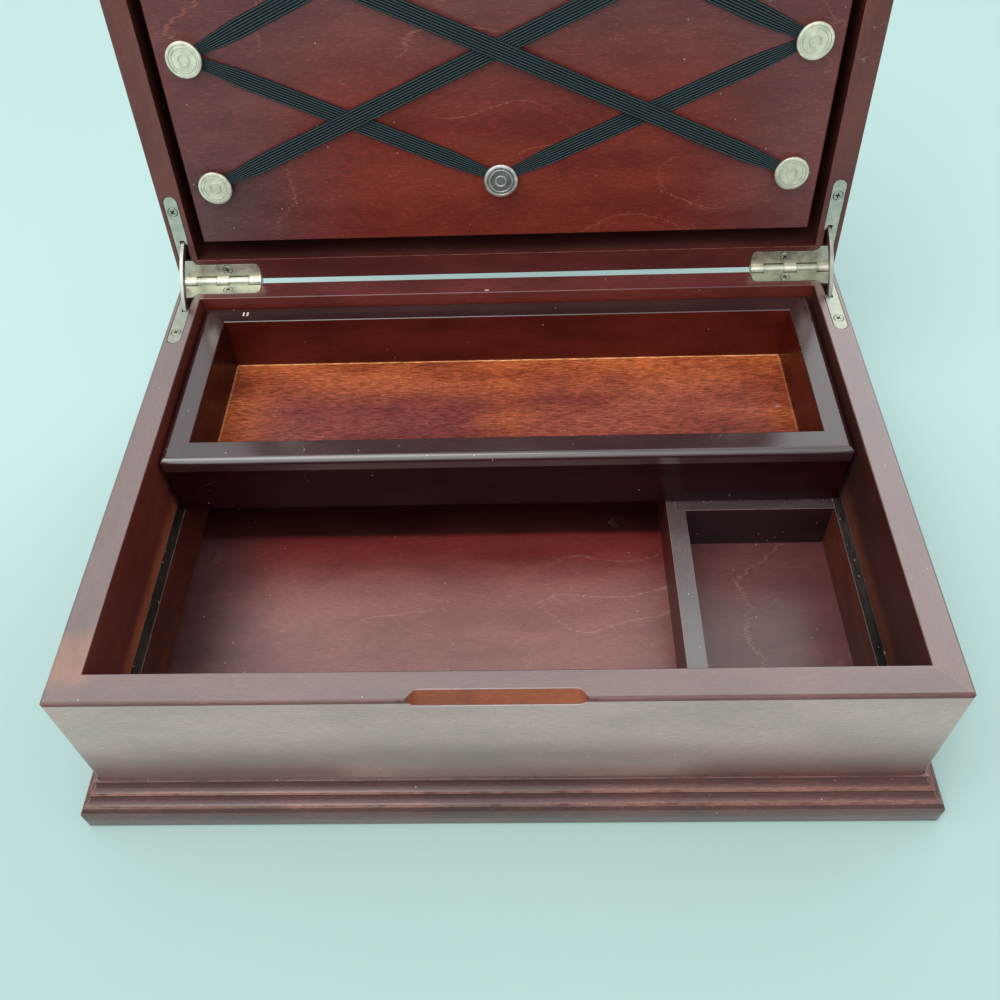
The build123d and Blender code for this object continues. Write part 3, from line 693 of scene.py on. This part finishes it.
# %% [markdown]
# The ribbon board is thinner stock, saturated red in its middle and purple towards its edges. The change
# of hue could come from a noise, but its place is known, so it is two regions with very soft borders. The
# pale battens behind the board were never stained.

# %% Ribbon board and battens
BOARD_MIDDLE = ((-55, 45, -1), (70, 92, 10), 60, (0.118, 0.012, 0.007), (0.175, 0.025, 0.014), 0.2)
BOARD_CORNER = ((-140, 80, -1), (-125, 96, 10), 40, (0.058, 0.017, 0.017), (0.09, 0.03, 0.03), 0.6)
dress(["ribbon_board"], wood(
    "board_wood", LID_ALONG_X, (0.088, 0.017, 0.017), (0.138, 0.033, 0.032), (0.46, 0.16, 0.11),
    [BOARD_MIDDLE, BOARD_CORNER], streak=0.13, pore=0.24, ring=0.4, ring_share=0.65,
    gloss=0.42, coat=(0.6, 0.36, 1.5),
))
batten_wood = wood("batten_wood", LID_ALONG_Y, (0.42, 0.26, 0.14), (0.55, 0.37, 0.21), (0.6, 0.45, 0.3))
dress(["left_batten", "right_batten"], batten_wood)

# %% [markdown]
# The case floor is a knife-cut veneer with toothed rings. It is redder by the tray and darker on the left,
# as a painted reflection of the dark lid and walls, and darkest under the tray, as painted shade. That shade
# could be left to the light, but it is painted into the stain, and stays when the tray is slid to the front.

# %% Case floor
SMALL_FLOOR = ((79, -105, 0), (145, -3, 21), 2, (0.085, 0.021, 0.021), (0.135, 0.038, 0.035), 0.9)
# Painted reflection by the tray and on the left, and painted shade under the tray.
NEAR_TRAY_REFLECTION = ((-150, -4, 0), (74, 120, 21), 24, (0.11, 0.011, 0.01), (0.17, 0.024, 0.02), 0.35)
LEFT_FLOOR_REFLECTION = ((-150, -120, 0), (-140, 120, 21), 52, (0.04, 0.011, 0.013), (0.066, 0.02, 0.022), 0.15)
UNDER_TRAY_SHADE = ((-150, 6, 0), (150, 120, 21), 4, (0.02, 0.003, 0.0026), (0.036, 0.006, 0.0052), 0.05)
dress(["floor_panel"], wood(
    "floor_wood", ALONG_X, (0.17, 0.045, 0.04), (0.25, 0.078, 0.068), (0.52, 0.28, 0.21),
    [NEAR_TRAY_REFLECTION, LEFT_FLOOR_REFLECTION, SMALL_FLOOR, UNDER_TRAY_SHADE],
    streak=0.18, pore=0.17, ring=0.36, ring_share=0.6, gloss=0.4, coat=(1.0, 0.3, 1.8), dust=0.012,
))

# %% [markdown]
# The tray's floor is orange brown, streaky, and darkens to purple on the left. A bright line of bare timber
# shows along three of its joints, where the cloth with the stain didn't reach. The lines could be strips
# of mesh, but narrow regions of the same floor can't come loose from it.

# %% Tray floor
PURPLE_PATCH = ((-100, 22, 40), (-25, 55, 60), 38, (0.12, 0.022, 0.022), (0.21, 0.047, 0.036), 0.4)
RIGHT_PATCH = ((20, 12, 40), (110, 60, 60), 30, (0.17, 0.032, 0.022), (0.31, 0.075, 0.042), 0.4)
BACK_JOINT = ((-140, 91.3, 40), (140, 93, 60), 0.3, (0.6, 0.22, 0.08), (0.8, 0.36, 0.15), 0.2)
LEFT_JOINT = ((-137, 12, 40), (-134.6, 93, 60), 0.3, (0.4, 0.11, 0.05), (0.65, 0.22, 0.1), 0.2)
RIGHT_JOINT = ((134.6, 12, 40), (137, 93, 60), 0.3, (0.3, 0.08, 0.04), (0.55, 0.18, 0.08), 0.2)
dress(["tray_floor"], wood(
    "tray_floor_wood", ALONG_X, (0.22, 0.038, 0.015), (0.45, 0.108, 0.033), (0.55, 0.28, 0.15),
    [RIGHT_PATCH, PURPLE_PATCH, BACK_JOINT, LEFT_JOINT, RIGHT_JOINT],
    streak=0.55, pore=0.3, gloss=0.4, coat=(0.35, 0.34, 1.45),
))

# %% [markdown]
# The hinges are thin nickel-plated steel: slightly yellow, half bright, with a darker film in patches. It
# could be one even metal, but that would look like plastic, because the tent has little to mirror. So one
# noise drives both tone and roughness, and the Bevel normal gives each edge a line of light. The leaves of
# the lid are painted brighter, and the stays darker, than the leaves of the case: painted light and shade.

# %% Nickel
FILM_SHADE = 0.8
FILM_SPAN = (0.35, 0.7)
DULL_SPAN = (0.3, 0.7)
DULLER = 0.12


def nickel(name, colour, rough):
    material, tree, shader = new_material(name)
    film = speckled(tree, object_place(tree), scale=300.0, Detail=4.0)
    filmed = tuple(FILM_SHADE * c for c in colour)
    edges = use(tree, RUBBED, Width=0.15 * MM, Broken=0.5, Scale=200.0)
    fill(
        tree, shader, Base_Color=mixed(tree, ranged(tree, film, *FILM_SPAN), filmed, colour),
        Roughness=ranged(tree, film, *DULL_SPAN, rough, rough + DULLER),
        Normal=edges["Normal"], Metallic=1.0,
    )
    return material


hinge_nickel = nickel("hinge_nickel", (0.5, 0.52, 0.43), 0.26)
dark_film = nickel("dark_film", (0.045, 0.04, 0.036), 0.5)
dress(["left_case_leaf", "right_case_leaf", "left_pin", "right_pin"], hinge_nickel)
# The leaves of the lid are painted brighter as light, and the stays darker as shade.
dress(["left_lid_leaf", "right_lid_leaf"], nickel("lid_nickel_painted_light", (0.66, 0.62, 0.52), 0.26))
dress(["left_stay", "right_stay"], nickel("stay_nickel_painted_shade", (0.38, 0.39, 0.34), 0.32))

# %% [markdown]
# The buttons lie in three rows on the ribbon board: three, two and three. Each ribbon is named with the two
# buttons that hold its ends and the layer in which it lies, counted from the board. The ribbons could be
# woven over and under, but on the real box each simply lies on the ones that were nailed before it.

# %% Where the buttons and the ribbons lie
BOARD_FACE = 1.1 * MM
BUTTON_ROWS = {"hinge": 66.5 * MM, "middle": 9.4 * MM, "front": -47.7 * MM}
BUTTON_COLUMNS = {"left": -130.7 * MM, "centre": 0.0, "right": 130.7 * MM}
BUTTONS = {
    f"{row}_{column}": (x, y)
    for row, y in BUTTON_ROWS.items() for column, x in BUTTON_COLUMNS.items()
    if (row, column) != ("middle", "centre")
}
RIBBONS = {
    "ribbon_a": ("middle_left", "front_centre", 0),
    "ribbon_e": ("middle_right", "hinge_centre", 0),
    "ribbon_b": ("middle_left", "hinge_centre", 1),
    "ribbon_f": ("middle_right", "front_centre", 1),
    "ribbon_c": ("hinge_left", "front_right", 2),
    "ribbon_d": ("hinge_right", "front_left", 3),
}
print(len(BUTTONS), "buttons,", len(RIBBONS), "ribbons")

# %% [markdown]
# The elastic is black, and a painted highlight lies only on the crowns of its ribs, broken into dots by the
# weave. The dots could be modelled, but they are smaller than a pixel here. The material reads coordinates
# in millimetres from the ribbon's own UV map, so that the ribs run along every ribbon.

# %% Finish of the elastic
RIBBON_WIDTH = 7.8 * MM
RIBS = 7
HALF_RIB = RIBBON_WIDTH / MM / RIBS / 2
CROWN_POWER = 2.5
PICK_HEIGHT = 0.4
PICK_LEAST = 0.45
FUZZ_LEAST = 0.4
# The paler colour is a painted highlight on the crowns of the ribs.
ELASTIC_AND_HIGHLIGHT_COLOURS = ((0.0008, 0.0024, 0.0034), (0.105, 0.165, 0.18))


def elastic():
    material, tree, shader = new_material("black_elastic")
    uv = add(tree, "UVMap", {"uv_map": "weave"}).outputs["UV"]
    weave = {"Vector": uv, "Scale": 4.5, "Distortion": 1.0, "Detail": 1.0}
    picks = add(tree, "TexWave", {"bands_direction": "X"}, **weave).outputs["Fac"]
    across = maths(tree, "PINGPONG", add(tree, "SeparateXYZ", Vector=uv).outputs["Y"], HALF_RIB)
    crown = ranged(tree, across, 0.0, HALF_RIB)
    fuzz = ranged(tree, speckled(tree, uv, scale=6.0, Detail=3.0), 0.3, 0.7, FUZZ_LEAST, 1.0)
    # The crowns of the ribs are painted lighter as a highlight, broken by fuzz and by the weave.
    crown_highlight = times(tree, maths(tree, "POWER", crown, CROWN_POWER), fuzz)
    crown_highlight = times(tree, crown_highlight, ranged(tree, picks, 0.2, 0.8, PICK_LEAST, 1.0))
    height = maths(tree, "ADD", crown, times(tree, picks, PICK_HEIGHT))
    bump = add(tree, "Bump", Strength=0.5, Distance=0.1 * MM, Height=height)
    fill(
        tree, shader, Base_Color=mixed(tree, crown_highlight, *ELASTIC_AND_HIGHLIGHT_COLOURS), Normal=bump.outputs["Normal"],
        Roughness=0.75, Specular_IOR_Level=0.12, Sheen_Weight=0.06, Sheen_Roughness=0.5,
    )
    return material


ELASTIC = elastic()
print(RIBS, "ribs of", round(2 * HALF_RIB, 2), "mm")

# %% [markdown]
# A ribbon is flat woven elastic with ribs along it, and it narrows where a button pinches it. A curve with
# a profile could draw it, but a curve keeps its width. So the mesh is a grid: one row of points across,
# with a small arch for each rib, repeated along the length and closed by a flat underside.

# %% Section of a ribbon
RIBBON_THICKNESS = 0.7 * MM
RIBBON_CLEARANCE = 0.02 * MM
RIB_VALLEY = 0.55
RIB_HEIGHT = 0.45
RIB_ROUNDNESS = 0.6
ACROSS = RIBS * 6


def ribbon_section():
    """Points across the ribbon, as share of its width and height from its back."""
    section = []
    for step in range(ACROSS + 1):
        share = step / ACROSS
        rib = abs(sin(pi * RIBS * share))
        section.append((share, RIBBON_THICKNESS * (RIB_VALLEY + RIB_HEIGHT * rib ** RIB_ROUNDNESS)))
    return section + [(1.0, RIBBON_CLEARANCE), (0.0, RIBBON_CLEARANCE)]


SECTION = ribbon_section()
print("Section of", len(SECTION), "points")

# %% Elastic ribbons
RIBBON_PINCHED = 4.8 * MM
RIBBON_TAPER = 26 * MM
RIBBON_END = 2.4 * MM
STEP = 2.0 * MM


def ribbon(name, start, end, layer):
    """One ribbon between two buttons, drawn on the lid's plan and put in its open place."""
    first = Vector((*BUTTONS[start], 0))
    last = Vector((*BUTTONS[end], 0))
    along = (last - first).normalized()
    side = Vector((-along.y, along.x, 0))
    length = (last - first).length - 2 * RIBBON_END
    rows = ceil(length / STEP)
    back = BOARD_FACE - layer * RIBBON_THICKNESS
    points = []
    weave = []
    for row in range(rows + 1):
        at = length * row / rows
        ease = min(1.0, min(at, length - at) / RIBBON_TAPER)
        width = RIBBON_PINCHED + (RIBBON_WIDTH - RIBBON_PINCHED) * ease * ease * (3 - 2 * ease)
        middle = first + along * (RIBBON_END + at)
        for share, height in SECTION:
            point = middle + side * (share - 0.5) * width
            points.append(LID_PLAN @ Vector((point.x, point.y, back - height)))
            weave.append((at / MM, share * RIBBON_WIDTH / MM))
    ring = len(SECTION)
    faces = []
    for row in range(rows):
        for step in range(ring):
            a, b = row * ring + step, row * ring + (step + 1) % ring
            faces.append((a, b, b + ring, a + ring))
    faces.append(tuple(range(ring))[::-1])
    faces.append(tuple(range(rows * ring, (rows + 1) * ring)))
    made = mesh_object(f"elastic_{name}", points, faces)
    layer_map = made.data.uv_layers.new(name="weave")
    for loop in made.data.loops:
        layer_map.data[loop.index].uv = weave[loop.vertex_index]
    made.data.materials.append(ELASTIC)
    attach(made, "lid")
    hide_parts(name)
    return length


for name, (start, end, layer) in RIBBONS.items():
    print(name, "length", round(ribbon(name, start, end, layer) / MM, 1), "mm")

# %% [markdown]
# A button is a turned piece: a flat rim, a sunk face with two narrow raised rings, and a back that tapers
# in towards the board, as a nail head does. It could be a stack of cylinders, but then its rounded rim
# would be missing. So one profile is swept round the axis.

# %% Turned pieces
# Radius and height of each point, in millimetres, from the back to the middle of the face.
BUTTON_PROFILE = [
    (3.6, -1.0), (6.6, 1.2), (7.3, 1.9), (7.6, 2.25), (7.6, 2.9), (7.45, 3.2), (7.1, 3.3), (6.35, 3.3),
    (6.2, 3.12), (5.45, 3.12), (5.35, 3.28), (4.95, 3.28), (4.85, 3.12), (2.65, 3.12), (2.55, 3.28),
    (2.1, 3.28), (2.0, 3.12), (0.0, 3.08),
]
BUTTON_STEPS = 64


def turned_profile(profile, steps):
    """Points and faces of a profile of (radius, height) turned about the axis, ending on the axis."""
    points = []
    for radius, height in profile[:-1]:
        for step in range(steps):
            angle = 2 * pi * step / steps
            points.append((radius * cos(angle), radius * sin(angle), height))
    points.append((0.0, 0.0, profile[-1][1]))
    faces = []
    for ring in range(len(profile) - 2):
        for step in range(steps):
            a, b = ring * steps + step, ring * steps + (step + 1) % steps
            faces.append((a, b, b + steps, a + steps))
    last = (len(profile) - 2) * steps
    for step in range(steps):
        faces.append((last + step, last + (step + 1) % steps, len(points) - 1))
    faces.append(tuple(range(steps))[::-1])
    return points, faces


profile_points, profile_faces = turned_profile(BUTTON_PROFILE, BUTTON_STEPS)
print("A button has", len(profile_points), "points")

# %% [markdown]
# The buttons are plated like the hinges, but duller, and a dark film has settled on the small walls of
# their rings. It could come from a mask, but each band of the profile is a ring of faces, which can take a
# second material. The middle button by the hinges is of whiter metal, with a darker sunk face.

# %% Buttons
FILMED_WALLS = (7, 9, 11, 13, 15)
SUNK_FLATS = (8, 12, 16)
button_bright = nickel("button_nickel", (0.95, 0.92, 0.74), 0.44)
button_film = nickel("button_film", (0.3, 0.29, 0.21), 0.42)
button_steel = nickel("button_steel", (0.95, 0.96, 0.93), 0.4)
button_dark = nickel("button_dark", (0.38, 0.42, 0.38), 0.34)
for name, (x, y) in BUTTONS.items():
    centre = name == "hinge_centre"
    points = [LID_PLAN @ Vector((x + px * MM, y - py * MM, -pz * MM)) for px, py, pz in profile_points]
    button = mesh_object(f"button_{name}", points, profile_faces)
    button.data.set_sharp_from_angle(angle=radians(25))
    button.data.materials.append(button_steel if centre else button_bright)
    button.data.materials.append(button_dark if centre else button_film)
    for face in button.data.polygons:
        band = face.index // BUTTON_STEPS
        face.material_index = int(band in FILMED_WALLS or (centre and band in SUNK_FLATS))
    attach(button, "lid")
    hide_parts("ribbon_buttons")
print(len(BUTTONS), "buttons")

# %% [markdown]
# Eight screws hold the hinge leaves. The head is turned like the buttons: a cone that sits in the leaf, a
# dark ring round it, and a slightly domed top. The top is lower than half of the gap round the shut lid,
# because the screws of the two leaves come to lie opposite each other. The cross recess could be a dark
# mark, but light falls into it, so a Boolean modifier cuts it with a pointed punch, as the real one is
# pressed, and its cut faces take the dark film. One mesh serves all eight.

# %% Punch for the recess
RECESS_LENGTH = 1.35
RECESS_WIDTH = 0.3
# Height of the punch's wide end and of its point, and its share of the full size there.
PUNCH_ENDS = ((0.6, 1.15), (-0.9, 0.35))
THINNEST_WEDGE = 0.6
WEDGE_FACES = [(0, 1, 2, 3), (7, 6, 5, 4), (0, 4, 5, 1), (1, 5, 6, 2), (2, 6, 7, 3), (3, 7, 4, 0)]


def recess_punch():
    """Two crossed wedges that taper to the depth of the recess."""
    points = []
    faces = []
    for turned in (False, True):
        first = len(points)
        for height, share in PUNCH_ENDS:
            for x, y in ((-1, -1), (1, -1), (1, 1), (-1, 1)):
                along = x * RECESS_LENGTH * share
                across = y * RECESS_WIDTH * max(share, THINNEST_WEDGE)
                points.append((across, along, height) if turned else (along, across, height))
        for face in WEDGE_FACES:
            faces.append(tuple(first + i for i in (face[::-1] if turned else face)))
    return points, faces


print("Punch", RECESS_LENGTH, "by", RECESS_WIDTH, "mm")

# %% Screw head
SCREW_HEAD = [
    (1.1, -1.55), (2.38, -0.2), (2.38, -0.05), (2.12, -0.05), (2.08, 0.05), (1.9, 0.11), (0.0, 0.17),
]
DARK_RING = (1, 2)
SCREW_STEPS = 40


def small_piece(name, points, faces):
    """Mesh object from points in millimetres, with the plating and a dark film as its materials."""
    piece = mesh_object(name, [tuple(v * MM for v in point) for point in points], faces, smooth=False)
    piece.data.materials.append(hinge_nickel)
    piece.data.materials.append(dark_film)
    return piece


def screw_mesh():
    """Screw head with its cross recess, as one mesh about the screw's own axis."""
    head = small_piece("screw_head", *turned_profile(SCREW_HEAD, SCREW_STEPS))
    punch = small_piece("screw_punch", *recess_punch())
    # The outer band of the head and the faces of the recess take the dark film.
    for face in head.data.polygons:
        face.material_index = int(face.index // SCREW_STEPS in DARK_RING)
    for face in punch.data.polygons:
        face.material_index = 1
    cut = head.modifiers.new("recess", "BOOLEAN")
    cut.operation = "DIFFERENCE"
    cut.object = punch
    cut.use_self = True
    graph = bpy.context.evaluated_depsgraph_get()
    mesh = bpy.data.meshes.new_from_object(head.evaluated_get(graph))
    for helper in (head, punch):
        bpy.data.objects.remove(helper)
    return mesh


SCREW = screw_mesh()
print("Screw mesh of", len(SCREW.vertices), "points")

# %% [markdown]
# Each leaf has two screws, one in each leg. They could be mirrored from one another, but then all the
# recesses would match. Placed one by one, each is turned by its own angle, because no one lines screws up.

# %% Screws
# Place on the right-hand leaf in millimetres, and turn in degrees.
SCREW_PLACES = [(154.5, 79.2, 17), (135.5, 110.4, 62)]
LID_SCREW_TURN = 31
RIM_HEIGHT = PIN.z - RIM_GAP / 2
for half_name, plan, flip in (("case", Matrix.Translation((0, 0, RIM_HEIGHT)), 0), ("lid", LID_PLAN, pi)):
    for hand_name, hand in (("left", -1), ("right", 1)):
        for number, (x, y, angle) in enumerate(SCREW_PLACES, start=1):
            screw = new_object(f"screw_{half_name}_{hand_name}_{number}", SCREW)
            turn = radians(angle * (2 + hand) + (LID_SCREW_TURN if flip else 0))
            screw.matrix_world = (
                plan @ Matrix.Translation((hand * x * MM, y * MM, 0)) @ Matrix.Rotation(flip, 4, "X")
                @ Matrix.Rotation(turn, 4, "Z")
            )
            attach(screw, half_name)
print(4 * len(SCREW_PLACES), "screws")

# %% [markdown]
# The underside of the box is felt, glued over a thin board. The board could be left out, as it is hidden,
# but the felt needs something to lie on. It is a plain slab, and a Bevel modifier softens its edges.

# %% Base board
BASE_LOW, BASE_HIGH = (Vector(corner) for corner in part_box("base_panel"))
FELT_THICKNESS = 1.0 * MM
BOARD_LOW = BASE_LOW + Vector((0, 0, FELT_THICKNESS))
board_corners = [
    (x, y, z) for z in (BOARD_LOW.z, BASE_HIGH.z) for y in (BOARD_LOW.y, BASE_HIGH.y)
    for x in (BOARD_LOW.x, BASE_HIGH.x)
]
board_faces = [(0, 2, 3, 1), (4, 5, 7, 6), (0, 1, 5, 4), (2, 6, 7, 3), (0, 4, 6, 2), (1, 3, 7, 5)]
base_board = mesh_object("base_board", board_corners, board_faces, smooth=False)
base_board.data.materials.append(batten_wood)
softened = base_board.modifiers.new("edges", "BEVEL")
softened.width = 0.3 * MM
softened.segments = 2
print("Board of", [round(v / MM, 1) for v in BASE_HIGH - BOARD_LOW], "mm")

# %% [markdown]
# Felt is matted fibre, light and dark, and paler where it is rubbed. Hair could be grown on it, but single
# fibres are too small to see. Two noises give the colour, and the finer one lifts the surface a little.

# %% Finish of the felt
FELT_COLOURS = ((0.03, 0.005, 0.006), (0.13, 0.022, 0.022))
FELT_RUBBED = (0.17, 0.06, 0.055)
FELT_RUBBED_SHARE = 0.35
FELT_RUBBED_SPAN = (0.5, 0.75)
FIBRE_SPAN = (0.3, 0.7)


def felt_finish():
    material, tree, shader = new_material("dark_red_felt")
    place = object_place(tree)
    matted = speckled(tree, place, scale=900.0, Detail=5.0, Roughness=0.7)
    cloudy = speckled(tree, place, scale=35.0, Detail=3.0)
    rubbed = ranged(tree, cloudy, *FELT_RUBBED_SPAN, 0.0, FELT_RUBBED_SHARE)
    colour = mixed(tree, ranged(tree, matted, *FIBRE_SPAN), *FELT_COLOURS)
    bump = add(tree, "Bump", Strength=0.8, Distance=0.3 * MM, Height=matted)
    fill(
        tree, shader, Base_Color=mixed(tree, rubbed, colour, FELT_RUBBED), Normal=bump.outputs["Normal"],
        Roughness=0.95, Sheen_Weight=0.5, Sheen_Roughness=0.4,
    )
    return material


FELT = felt_finish()
print("Felt", FELT.name)

# %% [markdown]
# The felt is a sheet with a little thickness. It could be a flat box, but felt is never quite flat, and its
# cut edge turns up round the board. So a grid of points, doubled for the two faces, is lifted a little by
# noise below and more along the border.

# %% Felt
FELT_CELLS = 60
FELT_EDGE_LIFT = 0.35
FELT_UNEVEN = 0.06
FELT_WAVES = 90


def felt_sheet(low, high):
    """Closed sheet of felt whose lower face is uneven and whose edge is rounded."""
    points = []
    width, depth = high[0] - low[0], high[1] - low[1]
    for level in (0, 1):
        for row in range(FELT_CELLS + 1):
            for column in range(FELT_CELLS + 1):
                x = low[0] + width * column / FELT_CELLS
                y = low[1] + depth * row / FELT_CELLS
                border = row in (0, FELT_CELLS) or column in (0, FELT_CELLS)
                uneven = FELT_UNEVEN * (1 + noise.noise((FELT_WAVES * x, FELT_WAVES * y, 0)))
                share = 1.0 if level else FELT_EDGE_LIFT if border else uneven
                points.append((x, y, low[2] + share * FELT_THICKNESS))
    count = FELT_CELLS + 1
    top = count * count
    faces = []
    for row in range(FELT_CELLS):
        for column in range(FELT_CELLS):
            a = row * count + column
            faces.append((a, a + count, a + count + 1, a + 1))
            faces.append((top + a, top + a + 1, top + a + count + 1, top + a + count))
    for step in range(FELT_CELLS):
        for a, b in (
            (step, step + 1), (count * (step + 1), count * step),
            (top - 1 - step, top - 2 - step), (count * step + FELT_CELLS, count * (step + 1) + FELT_CELLS),
        ):
            faces.append((a, b, top + b, top + a))
    return mesh_object("base_felt", points, faces)


base_felt = felt_sheet(BASE_LOW, BASE_HIGH)
base_felt.data.materials.append(FELT)
for piece in (base_board, base_felt):
    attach(piece, "case")
    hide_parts("base_panel")
